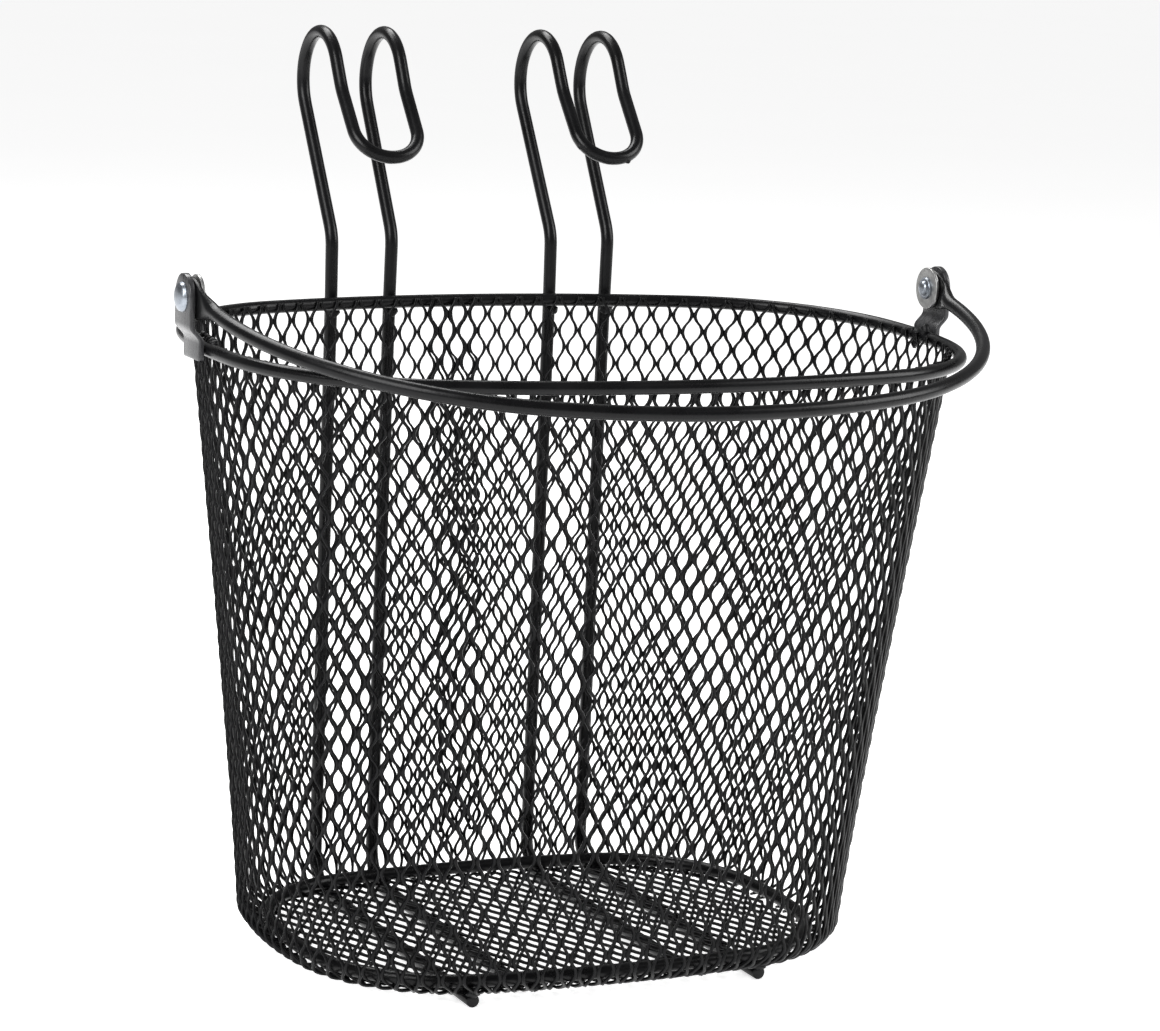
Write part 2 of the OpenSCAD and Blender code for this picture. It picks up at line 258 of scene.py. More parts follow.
# A carried surface's points and faces, with a rounded cap at each open end
def wireSurface(path, across, diameter, sides=20, closed=False, endRound=0.5):
    profile = roundProfile(diameter, sides)
    if closed:
        points = carried(path, across, profile, True)
        return points.reshape(-1, 3), gridFaces(len(path), sides, True).tolist()
    turns = np.radians([90, 62, 34, 10])  # cap rings shrink as a cosine and step out as a sine
    size = np.concatenate([np.cos(turns), np.ones(len(path)), np.cos(turns[::-1])])
    step = endRound * np.sin(turns)
    ahead = headings(path)
    path = np.concatenate([path[0] - ahead[0] * step[:, None], path,
                           path[-1] + ahead[-1] * step[::-1, None]])
    across = np.concatenate([np.repeat(across[:1], 4, 0), across, np.repeat(across[-1:], 4, 0)])
    size = np.maximum(size, 1e-3)
    points = carried(path, across, profile[None] * size[:, None, None])
    faces = gridFaces(len(path), sides).tolist()
    last = (len(path) - 1) * sides
    faces += [list(range(sides)), list(range(last + sides - 1, last - 1, -1))]
    return points.reshape(-1, 3), faces


# A profile of (distance from the axis, place along the axis) turned about an axis along X
def turned(profile, centre, side, sides=48):
    turn = np.arange(sides) * 2 * np.pi / sides
    profile = np.asarray(profile, float)
    r, x = profile[:, :1], profile[:, 1:]
    points = np.stack([centre[0] + side * x + 0 * turn, centre[1] + r * np.cos(turn),
                       centre[2] + side * r * np.sin(turn)], axis=-1)
    return points.reshape(-1, 3), len(profile)


# Several surfaces as one: the faces of each are counted on from the points before it
def joined(surfaces):
    points, faces, count = [], [], 0
    for place, rows in surfaces:
        rows = rows.tolist() if isinstance(rows, np.ndarray) else rows
        faces += [[number + count for number in row] for row in rows]
        points.append(place)
        count += len(place)
    return np.concatenate(points), faces


rimWire = {"diameter": 6.0, "arcs": (200, 88, 450), "stations": 480, "sides": 20, "rise": 1.9}
baseRing = {"diameter": 6.0, "arcs": (200, 66, 600), "stations": 400, "sides": 20, "rise": 0.0}


# Point and outward direction at a share of the way round an oval of end, corner and side arcs.
# Each quarter is arc length folded back at the odd quarters, then the three arcs in turn
def ovalPoint(share, a, b, arcs, out=0.0):
    endR, cornerR, sideR = arcs
    ex, sy = a - endR, b - sideR
    re, rs = endR - cornerR, sideR - cornerR
    span = np.hypot(ex, sy)
    along = (re ** 2 - rs ** 2 + span ** 2) / (2 * span)
    off = np.sqrt(re ** 2 - along ** 2)
    ux, uy = -ex / span, sy / span
    cx, cy = ex + along * ux - off * uy, along * uy + off * ux
    first, second = np.arctan2(cy, cx - ex), np.arctan2(cy - sy, cx)
    endLen, cornerLen = endR * first, cornerR * (second - first)
    whole = endLen + cornerLen + sideR * (np.pi / 2 - second)
    quarter = np.floor(share * 4)
    part = share * 4 - quarter
    quarter = quarter % 4
    s = np.where(quarter % 2 == 0, part, 1 - part) * whole
    onEnd, onCorner = s < endLen, s < endLen + cornerLen
    turn = np.where(onEnd, s / endR, np.where(onCorner, first + (s - endLen) / cornerR,
                                              second + (s - endLen - cornerLen) / sideR))
    r = np.where(onEnd, endR, np.where(onCorner, cornerR, sideR)) + out
    px = np.where(onEnd, ex, np.where(onCorner, cx, 0.0)) + r * np.cos(turn)
    py = np.where(onEnd, 0.0, np.where(onCorner, cy, sy)) + r * np.sin(turn)
    flipX = np.where((quarter == 1) | (quarter == 2), -1.0, 1.0)
    flipY = np.where(quarter >= 2, -1.0, 1.0)
    return px * flipX, py * flipY, np.cos(turn) * flipX, np.sin(turn) * flipY, 4 * whole


# Rim and base ring: a round profile carried round the oval, whose height grows as y times the
# tangent of the rise
def ovalWire(node, look):
    low, high = nodeBox(node)
    centre = (low + high) / 2
    a, b = (high - low)[:2] / 2 - look["diameter"] / 2
    share = np.arange(look["stations"]) / look["stations"]
    x, y, nx, ny, _ = ovalPoint(share, a, b, look["arcs"])
    slope = math.tan(math.radians(look["rise"]))
    path = np.stack([centre[0] + x, centre[1] + y, centre[2] + y * slope], axis=-1)
    across = np.stack([nx, ny, ny * slope], axis=-1)
    surface = wireSurface(path, across, look["diameter"], look["sides"], closed=True)
    return surface, (a, b, centre)


(rimPoints, rimFaces), (rimA, rimB, rimCentre) = ovalWire("rim_wire", rimWire)
addPiece("rim_rod", rimPoints, rimFaces, wireCoat, "basket", ["rim_wire"])
(ringPoints, ringFaces), (ringA, ringB, ringCentre) = ovalWire("base_ring", baseRing)
addPiece("base_ring_rod", ringPoints, ringFaces, wireCoat, "basket", ["base_ring"])
print("rim and base ring made")


wall = {
    "cells": 90,            # diamonds round the wall
    "rowHeight": 7.9,       # half a diamond's height, along the wall
    "strand": 1.40,         # width of a strand
    "thick": 1.20,          # thickness of the sheet
    "tilt": 24.0,           # twist of each strand out of the sheet, degrees
    "raise": 0.28,          # how far a strand steps in and out of the sheet
    "wander": 0.16,         # scatter of the knuckles
    "flare": 1.12,
    "bulgeW": 12.5, "bulgeD": 13.5, "curlHeight": 18.0, "inset": 3.1, "sheet": 1.5,
    "arcs": (215, 77, 620),
}
floorBox = nodeBox("floor_mesh")
sheetZ = floorBox[0][2]


# Stations up the wall's middle surface: the curl from under the ring (turn 90 to 0), then the wall
# (height shares 0 to 1), each with its oval's half sizes, arcs, centre and direction
def wallStations():
    curl, climb = 30, 60
    turn = np.radians(np.linspace(90, 0, curl, endpoint=False))
    share = np.linspace(0, 1, climb)
    mid = wall["sheet"] / 2
    topZ = rimCentre[2] + rimWire["diameter"] / 3
    footA, footB = ringA + wall["bulgeW"], ringB + wall["bulgeD"]
    topA = rimA - wall["inset"] - wall["sheet"]
    topB = rimB - wall["inset"] - wall["sheet"]
    k, c = share ** wall["flare"], np.cos(turn)
    ringArcs, footArcs, rimArcs = (np.array(v, float) for v in
                                   (baseRing["arcs"], wall["arcs"], rimWire["arcs"]))
    halfA = np.concatenate([ringA + wall["bulgeW"] * c, footA + (topA - footA) * k])
    halfB = np.concatenate([ringB + wall["bulgeD"] * c, footB + (topB - footB) * k])
    arcs = np.concatenate([ringArcs + (footArcs - ringArcs) * c[:, None],
                           footArcs + (rimArcs - footArcs) * k[:, None]])
    drop = wall["curlHeight"] - sheetZ - wall["sheet"]
    z = np.concatenate([wall["curlHeight"] - (drop + mid) * np.sin(turn),
                        wall["curlHeight"] + (topZ - wall["curlHeight"]) * share])
    shift = ringCentre[1] * np.concatenate([np.ones(curl), 1 - k])
    rise = np.concatenate([np.zeros(curl), k]) * math.tan(math.radians(rimWire["rise"]))
    level = np.concatenate([c, np.ones(climb)])   # how far the sheet's outward direction is level
    length = np.concatenate([[0], np.cumsum(np.hypot(np.diff(halfA), np.diff(z)))])
    return length, np.column_stack([halfA, halfB, arcs, z, shift, level, rise])


wallLength, wallTable = wallStations()


# A point of the wall: share round, length up from the curl's edge, and distance outwards
def wallPoint(share, length, out):
    a, b, r0, r1, r2, z, shift, level, rise = (np.interp(length, wallLength, column)
                                               for column in wallTable.T)
    x, y, nx, ny, around = ovalPoint(share % 1.0, a, b, (r0, r1, r2), out * level)
    down = np.sqrt(np.maximum(0, 1 - level ** 2))
    return np.stack([x, y + shift, z - out * down + rise * (y + shift)], axis=-1), around


# Expanded metal: strands run up the sheet in zigzags and meet their neighbours at knuckles.
# Strand s sits between knuckle columns s and s + 1 and touches one of them, in turn, at each half
# row, so its place there is the knuckle's, half a strand to one side. Between half rows the place
# eases over; the profile is a four-cornered bar turned by the tilt
def strandBars(first, count, rows, look, scatter):
    s = first + np.arange(count)[:, None]
    row = np.arange(rows + 1)[None, :]
    toRight = (s + row) % 2                         # 1 where it touches the column on its right
    column = s + toRight
    wanderX = scatter[0][column % scatter[0].shape[0], row]
    wanderUp = scatter[1][column % scatter[1].shape[0], row]
    side = 1 - 2 * toRight
    ease = np.array([0.0, 0.04, 0.26, 0.74, 0.96])
    part = np.array([0.0, 0.14, 0.36, 0.64, 0.86])
    thin = np.array([1.16, 1.10, 0.94, 0.94, 1.10])

    def between(values):                            # values at half rows, eased to every station
        a, b = values[:, :-1, None], values[:, 1:, None]
        every = (a + (b - a) * ease).reshape(len(values), -1)
        return np.concatenate([every, values[:, -1:]], axis=1)

    up = np.concatenate([(row[:, :-1, None] + part).reshape(1, -1), row[:, -1:]], axis=1)
    up = (up + between(wanderUp)) * look["rowHeight"]
    place = between(column * 0.5 + wanderX)         # in cells
    lean = between(side * 1.0)
    width = np.append(np.tile(thin, rows), thin[0]) * look["strand"] / 2
    tilt = math.radians(look["tilt"])
    corners = np.array([[1, 1], [-1, 1], [-1, -1], [1, -1]])
    halfT = look["thick"] / 2
    dx = (corners[:, 0] * width[:, None] * math.cos(tilt)
          - corners[:, 1] * halfT * math.sin(tilt))[None]
    dn = (corners[:, 0] * width[:, None] * math.sin(tilt)
          + corners[:, 1] * halfT * math.cos(tilt))[None]
    offset = lean[..., None] * look["strand"] / 2 + dx
    out = lean[..., None] * look["raise"] + dn
    return place[..., None], offset, np.broadcast_to(up[..., None], out.shape), out


# Faces of count bars, each of stations rings of four corners, closed at both ends
def barFaces(count, stations):
    ring = gridFaces(stations, 4)
    caps = np.array([[3, 2, 1, 0], [0, 1, 2, 3]]) + np.array([[0], [(stations - 1) * 4]])
    one = np.concatenate([ring, caps])
    return (one[None] + (np.arange(count) * stations * 4)[:, None, None]).reshape(-1, 4)


# Normal scatter of every knuckle: sideways in full and up the sheet at 0.35 of it
def scatterOf(columns, rows, amount):
    return rng.normal(0, amount, (2, columns, rows + 1)) * np.array([1.0, 0.35])[:, None, None]


def wallRows(look, lower=0.0, upper=None):  # whole half rows that fit, and their exact height
    length = (upper or wallLength[-1]) - lower
    rows = round(length / look["rowHeight"])
    return rows, dict(look, rowHeight=length / rows)


# Strands laid on the wall: the share round is a quarter, plus place over cells, plus offset over
# the way round; depth is how far the sheet's middle stands out
def wallStrands(first, count, rows, look, scatter, depth, lower=0.0, twist=0.0):
    place, offset, up, out = strandBars(first, count, rows, look, scatter)
    up = up + lower
    _, around = wallPoint(0 * up, up, 0 * up)
    share = 0.25 + (place + twist * up) / look["cells"] + offset / around
    points, _ = wallPoint(share, up, out + depth)
    stations = points.shape[1]
    return points.reshape(-1, 3), barFaces(count, stations)


# Two halves, which share one scatter so that their edge strands still meet
rowCount, wallLook = wallRows(wall)
wallScatter = scatterOf(2 * wall["cells"], rowCount, wall["wander"] / 8.5)
for first, word in ((0, "back"), (wall["cells"], "front")):
    wallPoints, wallFaces = wallStrands(first, wall["cells"], rowCount, wallLook, wallScatter,
                                        wall["sheet"] / 2)
    addPiece(f"wall_mesh_{word}", wallPoints, wallFaces, meshCoat, "basket", ["side_mesh"],
             180)
print("wall made:", 2 * len(wallFaces), "faces in", rowCount, "half rows")

# Overlap seam down the back: the sheet's two ends lie over each other

overlap = dict(wall, strand=1.55, wander=0.60, tilt=14.0)
overlap.update({"first": -3, "count": 5, "inward": 0.55, "twist": 0.0060, "shift": 1.2,
                "lower": 26.0})


def overlapSeam():
    lower = overlap["lower"]
    rows, look = wallRows(overlap, lower, wallLength[-1] + 0.8)
    scatter = scatterOf(2 * look["cells"], rows, look["wander"] / 8.5)
    points, faces = wallStrands(look["first"], look["count"], rows, look, scatter, -look["inward"],
                                lower, look["twist"])
    return points + np.array([overlap["shift"], 0, 0]), faces


seamPoints, seamFaces = overlapSeam()
addPiece("wall_overlap_seam", seamPoints, seamFaces, meshCoat, "basket", ["side_mesh"],
         180)

floorPanel = {"cellWidth": 9.2, "rowHeight": 7.8, "strand": 1.25, "thick": 1.0, "tilt": 20.0,
              "raise": 0.2, "wander": 0.12, "cells": 28}


# Straight strands of expanded metal from front to back; each end is held at the panel's edge, so
# the length outside it shrinks to nothing and is merged away
def floorStrands(look):
    low, high = floorBox
    centre = (low + high) / 2
    rows = int(np.ceil((high - low)[1] / look["rowHeight"]))
    scatter = scatterOf(2 * look["cells"], rows, look["wander"] / look["cellWidth"])
    place, offset, up, out = strandBars(0, 2 * look["cells"], rows, look, scatter)
    x = (place - look["cells"] / 2) * look["cellWidth"] + offset
    y = up - rows * look["rowHeight"] / 2
    share = np.linspace(0, 0.25, 400)
    edgeX, edgeY, _, _, _ = ovalPoint(share, ringA, ringB, baseRing["arcs"], -0.6)
    reach = np.interp(np.abs(x), edgeX[::-1], edgeY[::-1], right=0.0)
    inside = (np.abs(x) < edgeX[0] - 0.5).all(axis=(1, 2))
    y = np.clip(y, -reach, reach)
    points = np.stack([x, y + centre[1], centre[2] + out], axis=-1)[inside]
    return points.reshape(-1, 3), barFaces(len(points), points.shape[1])


floorPoints, floorFaces = floorStrands(floorPanel)
addPiece("floor_expanded_mesh", floorPoints, floorFaces, meshCoat, "basket", ["floor_mesh"],
         180)
print("floor and seam made:", len(floorFaces) + len(seamFaces), "faces")


hook = {"diameter": 6.0, "pitch": 111.0, "gauge": 30.0, "bendZ": 313.5, "bendRadius": 18.0,
        "lean": 33.0, "leanLength": 68.0, "topRadius": 22.5, "tailTurn": 150.0, "tail": 12.0,
        "flareRadius": 30.0, "endSlope": 48.0, "end": 20.0, "footRadius": 16.0, "spread": 1.2,
        "runnerZ": 3.05, "legGap": 6.1, "shortRunner": 16.0}


def arcPoints(centre, radius, start, stop, count):  # centre + radius (cosine, sine), in a plane
    turn = np.radians(np.linspace(start, stop, count))
    return np.asarray(centre) + radius * np.stack([np.cos(turn), np.sin(turn)], axis=-1)


def linePoints(start, stop, count):
    return np.asarray(start) + (np.asarray(stop) - start) * np.linspace(0, 1, count)[:, None]


# One leg in its upright plane, from the runner's end to where the closed end begins
def hookLeg(runnerEnd):
    h = hook
    legY, lean, slope = rimB + h["legGap"], math.radians(h["lean"]), math.radians(h["endSlope"])
    foot = np.array([legY - h["footRadius"], h["runnerZ"] + h["footRadius"]])
    bend = np.array([legY, h["bendZ"]])
    way = np.array([math.sin(lean), math.cos(lean)])
    leanEnd = bend + h["leanLength"] * way
    top = leanEnd + h["topRadius"] * np.array([-math.cos(lean), math.sin(lean)])
    cut = h["bendRadius"] * math.tan(lean / 2)
    turn = math.radians(h["tailTurn"])
    tailFrom = top + h["topRadius"] * np.array([math.cos(turn), math.sin(turn)])
    tailTo = tailFrom + h["tail"] * np.array([-math.sin(turn), math.cos(turn)])
    flare = h["tailTurn"] - 90 - h["endSlope"]
    flareAt = tailTo + h["flareRadius"] * np.array([math.cos(turn), math.sin(turn)])
    flareArc = arcPoints(flareAt, h["flareRadius"], 180 + h["tailTurn"],
                         180 + h["tailTurn"] - flare, 8)
    endTo = flareArc[-1] - h["end"] * np.array([math.cos(slope), math.sin(slope)])
    path = np.concatenate([
        linePoints([runnerEnd, h["runnerZ"]], [legY - h["footRadius"], h["runnerZ"]], 12)[:-1],
        arcPoints(foot, h["footRadius"], -90, 0, 14)[:-1],
        linePoints([legY, foot[1]], [legY, h["bendZ"] - cut], 24)[:-1],
        arcPoints([legY + h["bendRadius"], h["bendZ"] - cut], h["bendRadius"],
                  180, 180 - h["lean"], 9)[:-1],
        linePoints(bend + cut * way, leanEnd, 8)[:-1],
        arcPoints(top, h["topRadius"], -h["lean"], h["tailTurn"], 40)[:-1],
        linePoints(tailFrom, tailTo, 4)[:-1],
        flareArc[:-1],
        linePoints(flareArc[-1], endTo, 5)])
    return path


# The whole hairpin: the outer leg, a half circle in the sloping plane, and the inner leg back
def hairpin(side):
    h = hook
    longEnd = ringCentre[1] - ringB
    outer, inner = hookLeg(longEnd), hookLeg(longEnd + h["shortRunner"])
    slope, half = math.radians(h["endSlope"]), h["gauge"] / 2
    down = np.array([0, -math.cos(slope), -math.sin(slope)])
    out = np.array([side, 0.0, 0.0])

    def legPath(leg, sign):
        spread = h["spread"] * np.clip((leg[:, 1] - rimCentre[2]) / 110, 0, 1)
        x = sign * side * (half - 0.5 + spread)
        return np.column_stack([x, leg])

    turn = np.linspace(0, np.pi, 26)[1:-1, None]
    end = np.array([0, *outer[-1]])
    wide = abs(legPath(outer, 1)[-1, 0])
    around = end + wide * np.cos(turn) * out + half * np.sin(turn) * down
    path = np.concatenate([legPath(outer, 1), around, legPath(inner, -1)[::-1]])
    across = np.concatenate([np.tile(out, (len(outer), 1)),
                             np.cos(turn) * out + np.sin(turn) * down,
                             np.tile(-out, (len(inner), 1))])
    return path + np.array([side * h["pitch"] / 2, 0, 0]), across


for side, word in ((-1, "left"), (1, "right")):
    hookPath, hookAcross = hairpin(side)
    hookPoints, hookFaces = wireSurface(hookPath, hookAcross, hook["diameter"], 20, endRound=0.6)
    addPiece(f"hook_{word}_wire", hookPoints, hookFaces, wireCoat, "basket", [f"hook_{word}"])
print("hooks made")


# Handle: a rod with its ends pressed flat
pivot = np.array(frame["record"]["behaviour"]["joints"][0]["pos_m"]) * 1000
handleLook = {"diameter": 6.3, "halfWidth": 177.0, "reach": 158.0, "corner": 136.0, "limb": 16.0,
              "droop": 11.0, "earX": 179.7, "earThick": 2.6, "earRadius": 8.5, "flareEnd": 25.0}


def smooth(x, low, high):  # eases from 0 at low to 1 at high
    t = np.clip((x - low) / (high - low), 0, 1)
    return t * t * (3 - 2 * t)


# Half of the rod in its own plane, from the round end of the ear to the middle of the grip:
# straight limb, corner arc, grip arc. The bar's half sizes run from the ear's to the rod's
def handleHalf(h):
    r, cornerX, depth = h["corner"], h["halfWidth"] - h["corner"], h["reach"] - h["limb"]
    gripR = (cornerX ** 2 + depth ** 2 - r ** 2) / (2 * (depth - r))
    gripTurn = math.degrees(math.atan2(gripR - depth, cornerX))
    s = np.concatenate([-h["earRadius"] * np.cos(np.linspace(0.02, np.pi / 2, 14))[:-1],
                        np.linspace(0, h["limb"], 22)])
    cornerArc = arcPoints([cornerX, -h["limb"]], r, 0, -gripTurn, 60)[1:]
    gripArc = arcPoints([0, gripR - h["reach"]], gripR, -gripTurn, -90, 40)[1:]
    path = np.concatenate([np.column_stack([np.full(len(s), h["halfWidth"]), -s]), cornerArc,
                           gripArc])
    far = np.concatenate([s, h["limb"] + r * np.radians(np.linspace(0, gripTurn, 60)[1:]),
                          np.full(len(gripArc), 999.0)])
    path[:, 0] += (h["earX"] - h["halfWidth"]) * (1 - smooth(far, 10, 22))
    rod = h["diameter"] / 2
    rounded = np.sqrt(np.maximum(0, 1 - (np.minimum(far, 0) / h["earRadius"]) ** 2))
    wide = (rod + (h["earRadius"] - rod) * (1 - smooth(far, 1, h["flareEnd"]))) * rounded
    thick = h["earThick"] / 2 + (rod - h["earThick"] / 2) * smooth(far, 11, 20)
    square = 5.0 - 3.0 * smooth(far, 8, 20)
    return path, wide, thick, square


# The half path and its mirror image, let down by the droop, with a profile of
# (|cosine|, |sine|) to the power 2 / square, times the bar's half sizes
def handleSurface(h, sides=24):
    path, wide, thick, square = handleHalf(h)
    flat = np.concatenate([path, path[-2::-1] * [-1, 1]])
    wide, thick, square = (np.concatenate([v, v[-2::-1]])[:, None] for v in (wide, thick, square))
    tilt = math.radians(h["droop"])
    space = np.column_stack([flat[:, 0], flat[:, 1] * math.cos(tilt), flat[:, 1] * math.sin(tilt)])
    ahead = headings(space)
    planeUp = np.array([0, -math.sin(tilt), math.cos(tilt)])
    across = np.cross(planeUp, ahead) * -1
    turn = np.arange(sides) * 2 * np.pi / sides
    power = 2 / square
    c, s = np.cos(turn), np.sin(turn)
    profile = np.stack([np.sign(c) * np.abs(c) ** power * thick,
                        np.sign(s) * np.abs(s) ** power * wide], axis=-1)
    points = carried(space + pivot, across, profile)
    faces = gridFaces(len(space), sides).tolist()
    last = (len(space) - 1) * sides
    faces += [list(range(sides)), list(range(last + sides - 1, last - 1, -1))]
    return points.reshape(-1, 3), faces


handlePoints, handleFaces = handleSurface(handleLook)
addPiece("bail_handle", handlePoints, handleFaces, wireCoat, "handle", ["handle"], 60)
print("handle made")


bracketLook = {"thick": 2.5, "out": 4.2, "corner": 1.4, "edge": 0.55, "foot": 283.4, "step": 6.4}
rivetLook = {"shank": 3.0, "head": 6.4, "headRim": 0.7, "tail": 5.0, "tailDome": 3.7,
             "tailRim": 1.2, "gap": 0.05}
washerShape = {"hole": 3.05, "edge": 0.35, "land": 2.0}


# A plate of rows up its height, each a flat bar with rounded corners as wide as the plate is there.
# The depth of a row's middle eases from the foot's to the pivot end's; the width is the half
# width, or the circle's chord above the pivot, less a small corner at the foot
def plateSurface(half, drop, look):
    up = np.concatenate([look["corner"] * (1 - np.cos(np.linspace(0.03, np.pi / 2, 6)))[:-1],
                         np.linspace(look["corner"], drop, 30)[:-1],
                         drop + half * np.sin(np.linspace(0, np.pi / 2 - 0.02, 22))])
    z = up - drop
    low = np.sqrt(np.maximum(0, look["corner"] ** 2 - np.maximum(0, look["corner"] - up) ** 2))
    wide = np.where(z > 0, np.sqrt(np.maximum(0, half ** 2 - np.maximum(z, 0) ** 2)),
                    half - look["corner"] + low)
    foot = look["foot"] - pivot[2]
    ease = np.clip((z - foot) / look["step"], 0, 1)
    deep = look["out"] * ease * ease * (3 - 2 * ease)
    t, e = look["thick"] / 2, look["edge"]
    turn = np.radians([0, 30, 60, 90])
    corner = np.stack([t - e + e * np.cos(turn), e * np.sin(turn) - e], axis=-1)
    ring = np.concatenate([corner, (corner * [-1, 1])[::-1], corner * [-1, -1],
                           (corner * [1, -1])[::-1]])
    sign = np.repeat([1.0, 1.0, -1.0, -1.0], 4)
    x = deep[:, None] + t + ring[None, :, 0]
    y = sign * wide[:, None] + ring[None, :, 1]
    y = np.where(np.abs(y) > wide[:, None], sign * wide[:, None], y)
    points = np.stack([x, y, np.broadcast_to(z[:, None], x.shape)], axis=-1)
    n, m = 16, len(z)
    faces = gridFaces(m, n).tolist() + [list(range(n)), list(range(m * n - 1, (m - 1) * n - 1, -1))]
    return points.reshape(-1, 3), faces


# Rings (radius, place) of a dome over a thin rim, from its crown to the shank
def domeRings(radius, height, rimHeight, foot, shank, away, count=12):
    turn = np.linspace(0, np.pi / 2, count)
    r = (radius - 0.25) * np.sin(turn)
    x = rimHeight + (height - rimHeight) * np.cos(turn)
    return np.concatenate([np.column_stack([r, foot + away * x]),
                           [[radius, foot + away * rimHeight * 0.6], [radius, foot],
                            [shank, foot]]])


for side, word in ((-1, "left"), (1, "right")):
    low, high = nodeBox(f"bracket_{word}")
    half = (high - low)[1] / 2
    points, faces = plateSurface(half, pivot[2] - low[2], bracketLook)
    inner, plateOut = sorted((abs(low[0]), abs(high[0])))
    points = np.column_stack([side * (inner + points[:, 0]), points[:, 1], points[:, 2] + pivot[2]])
    addPiece(f"bracket_plate_{word}", points, faces, plateCoat, "basket", [f"bracket_{word}"])

    rlow, rhigh = nodeBox(f"pivot_rivet_{word}")
    outer = max(abs(rlow[0]), abs(rhigh[0]))
    tailTip = min(abs(rlow[0]), abs(rhigh[0]))
    wlow, whigh = nodeBox(f"washer_{word}")
    washerIn, washerOut = sorted((abs(wlow[0]), abs(whigh[0])))
    r, gap = rivetLook, rivetLook["gap"]
    tailFoot = washerIn - gap
    head = domeRings(r["head"], outer - plateOut - gap, r["headRim"], plateOut + gap, r["shank"], 1)
    dome = domeRings(r["tailDome"], washerIn - tailTip - gap, r["tailRim"], tailFoot, r["shank"],
                     -1)[:12]
    flange = np.array([[r["tailDome"] + 0.35, washerIn - 1.05], [r["tail"] - 0.3, washerIn - 1.15],
                       [r["tail"], washerIn - 0.85], [r["tail"], tailFoot], [r["shank"], tailFoot]])
    rings = np.concatenate([head, flange[::-1], dome[::-1]])
    points, rows = turned(rings, (0, pivot[1], pivot[2]), side)
    addPiece(f"rivet_{word}", points, gridFaces(rows, 48).tolist(), zinc, "basket",
             [f"pivot_rivet_{word}"], 50)

    r1, r2, e = washerShape["hole"], (whigh - wlow)[1] / 2, washerShape["edge"]
    turn = np.radians(np.linspace(0, 90, 4))
    ring = np.concatenate([
        np.column_stack([r2 - e + e * np.sin(turn), washerIn + e - e * np.cos(turn)]),
        np.column_stack([r2 - e + e * np.cos(turn), washerOut - e + e * np.sin(turn)]),
        [[r1, washerOut], [r1, washerIn], [r2 - washerShape["land"], washerIn]]])
    points, rows = turned(ring, (0, pivot[1], pivot[2]), side, 64)
    addPiece(f"washer_{word}_plate", points, gridFaces(rows, 64, True).tolist(), washerZinc,
             "basket", [f"washer_{word}"], 50)
print("brackets, rivets and washers made")


weld = {"rows": 9, "sides": 12, "rough": 0.16}


# A lump is a ball of three half sizes whose radius varies at random from point to point
def lump(centre, sizes):
    rows, sides = weld["rows"], weld["sides"]
    turn = np.linspace(0, np.pi, rows)[:, None]
    around = np.arange(sides)[None, :] * 2 * np.pi / sides
    rough = 1 + rng.uniform(-weld["rough"], weld["rough"], (rows, sides))
    rough[[0, -1]] = 1
    ball = np.stack([np.sin(turn) * np.cos(around), np.sin(turn) * np.sin(around),
                     np.cos(turn) + 0 * around], axis=-1) * rough[..., None]
    return (ball * sizes + centre).reshape(-1, 3), gridFaces(rows, sides)


def weldLumps():
    legY, half = rimB + hook["legGap"], hook["gauge"] / 2 - 0.5
    lumps = []
    for hookX in (-hook["pitch"] / 2, hook["pitch"] / 2):
        for x in (hookX - half, hookX + half):
            lumps.append(lump((x, legY - 3.0, rimCentre[2] - 1.5), (3.4, 1.6, 2.6)))
            for y in (ringCentre[1] - ringB, ringCentre[1] + ringB):
                lumps.append(lump((x, y, ringCentre[2] - 4.2), (3.2, 2.6, 1.9)))
    end = hookLeg(0.0)[-1]
    slope = math.radians(hook["endSlope"])
    tip = np.array([hook["pitch"] / 2, end[0], end[1]])
    for turn in (28, 112):
        c, d = math.cos(math.radians(turn)), math.sin(math.radians(turn))
        way = np.array([-c, -d * math.cos(slope), -d * math.sin(slope)])
        lumps.append(lump(tip + (hook["gauge"] / 2 + 2.4) * way, (1.5, 1.3, 1.4)))
    for side in (-1, 1):
        for y in np.linspace(-9, 9, 7):
            at = (side * (rimA - 1.6 - abs(y) * 0.02), y, rimCentre[2] + rng.uniform(-4, 4.5))
            lumps.append(lump(at, rng.uniform(1.5, 2.6, 3) * (0.9, 1.1, 1.1)))
    lumps.append(lump((-2.5, rimB - 1.5, rimCentre[2] + 2.6), (1.6, 1.4, 1.3)))
    return joined(lumps)


weldPoints, weldFaces = weldLumps()
addPiece("weld_lumps", weldPoints, weldFaces, weldCoat, "basket", [], 180)
print("welds made")


studio = {"floorSize": 30.0, "floorShade": 0.93, "floorGlow": 0.72, "world": 0.22}


def plainShader(name, shade, rough, glow):
    finish = Finish(name, Roughness=rough, Emission_Strength=glow)
    grain = finish.noise(400.0, 2)
    tone = grain.clamped(0.3, 0.7, shade - 0.01, shade + 0.01)
    finish.feed("Base Color", finish.mix(tone, (0, 0, 0, 1), (1, 1, 1, 1)))
    finish.shader.inputs["Emission Color"].default_value = (1, 1, 1, 1)
    return finish.material


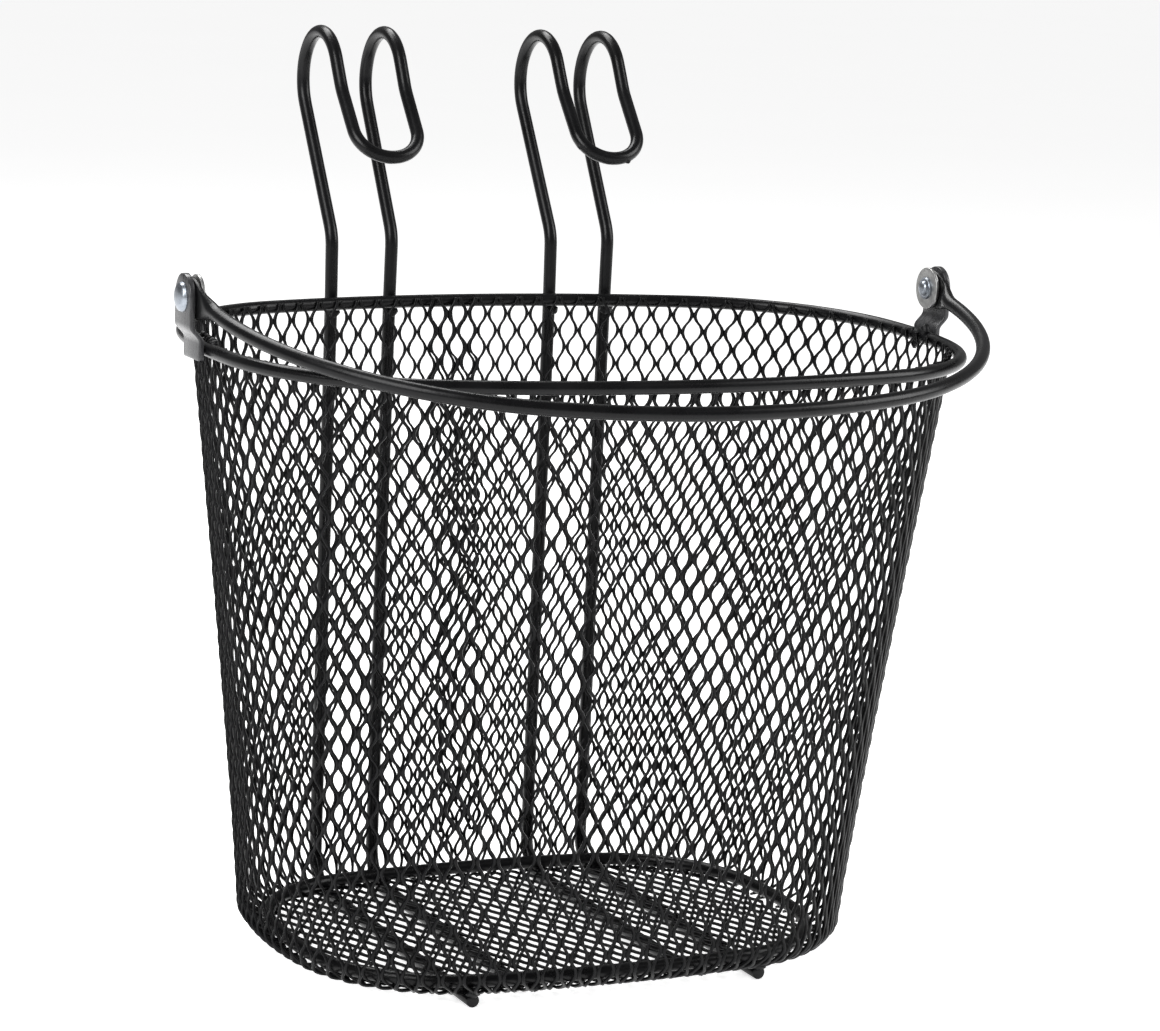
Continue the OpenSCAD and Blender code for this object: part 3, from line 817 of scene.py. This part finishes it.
floorMesh = bpy.data.meshes.new("studio_floor")
reach = studio["floorSize"] / 2
floorMesh.from_pydata([(-reach, -reach, 0), (reach, -reach, 0), (reach, reach, 0),
                       (-reach, reach, 0)], [], [(0, 1, 2, 3)])
floorMesh.materials.append(plainShader("studioFloor", studio["floorShade"], 0.7,
                                       studio["floorGlow"]))
studioFloor = bpy.data.objects.new("studio_floor", floorMesh)
bpy.context.scene.collection.objects.link(studioFloor)

world = bpy.data.worlds.new("studio")
bpy.context.scene.world = world
world.use_nodes = True
background = world.node_tree.nodes["Background"]
background.inputs["Color"].default_value = (1, 1, 1, 1)
background.inputs["Strength"].default_value = studio["world"]
bpy.context.scene.view_settings.view_transform = "Standard"


def softbox(name, place, aim, size, power):
    light = bpy.data.lights.new(name, "AREA")
    light.shape, light.size, light.size_y, light.energy = "RECTANGLE", size[0], size[1], power
    lamp = bpy.data.objects.new(name, light)
    lamp.location = place
    lamp.rotation_euler = (Vector(aim) - Vector(place)).to_track_quat("-Z", "Y").to_euler()
    bpy.context.scene.collection.objects.link(lamp)


middle = (0.0, 0.0, 0.2)
softbox("key_left", (-1.6, -0.9, 1.5), middle, (1.0, 1.4), 45)
softbox("fill_right", (1.7, -0.8, 1.2), middle, (0.9, 1.3), 28)
softbox("top_back", (-0.2, 1.3, 2.0), middle, (1.8, 0.8), 40)


# The camera stands at the solved place; its turn is built from heading, tilt and roll
view = {"place": (-0.68732, -1.45965, 0.48878), "azimuth": -25.131, "tilt": 13.038, "roll": 2.461,
        "lens": 113.61, "shift": (0.0208, 0.1619)}


def aimCamera(v):
    az, el, roll = (math.radians(v[key]) for key in ("azimuth", "tilt", "roll"))
    ahead = Vector((-math.sin(az) * math.cos(el), math.cos(az) * math.cos(el), -math.sin(el)))
    right = Vector((math.cos(az), math.sin(az), 0))
    up = right.cross(ahead)
    right, up = (right * math.cos(roll) + up * math.sin(roll),
                 up * math.cos(roll) - right * math.sin(roll))
    data = bpy.data.cameras.new("camera")
    data.lens, data.sensor_width = v["lens"], 36.0
    data.shift_x, data.shift_y = v["shift"]
    data.clip_start, data.clip_end = 0.05, 60.0
    camera = bpy.data.objects.new("camera", data)
    camera.matrix_world = Matrix.Translation(v["place"]) @ Matrix(
        (right, up, -ahead)).transposed().to_4x4()
    bpy.context.scene.collection.objects.link(camera)
    bpy.context.scene.camera = camera


aimCamera(view)
print("studio made")

bpy.context.view_layer.update()
